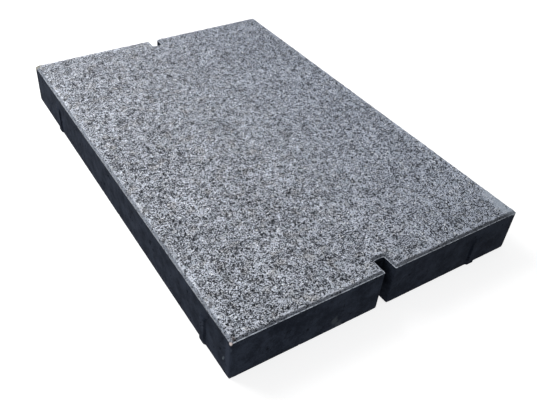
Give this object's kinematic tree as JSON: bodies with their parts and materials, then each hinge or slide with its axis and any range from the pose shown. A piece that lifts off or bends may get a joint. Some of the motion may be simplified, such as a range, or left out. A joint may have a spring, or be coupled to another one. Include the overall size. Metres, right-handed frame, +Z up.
{
  "type": "granite faced paving slab",
  "caption": "Flat rectangular paving slab with a pale speckled granite facing, a bevelled rim, side spacer nibs and a slot in each short end.",
  "frame": {"origin": "middle of the underside", "axes": "+Y along the 600 mm length, +X across the 400 mm width, +Z up to the speckled face"},
  "size_m": [0.4036, 0.6036, 0.06],
  "materials": {
    "backing_concrete": "matte",
    "granite_facing": "matte",
    "pale_granite": "satin"
  },
  "bodies": {
    "root": {"backing_layer": "backing_concrete", "facing_layer": "granite_facing", "granite_chippings": "pale_granite"}
  },
  "joints": []
}
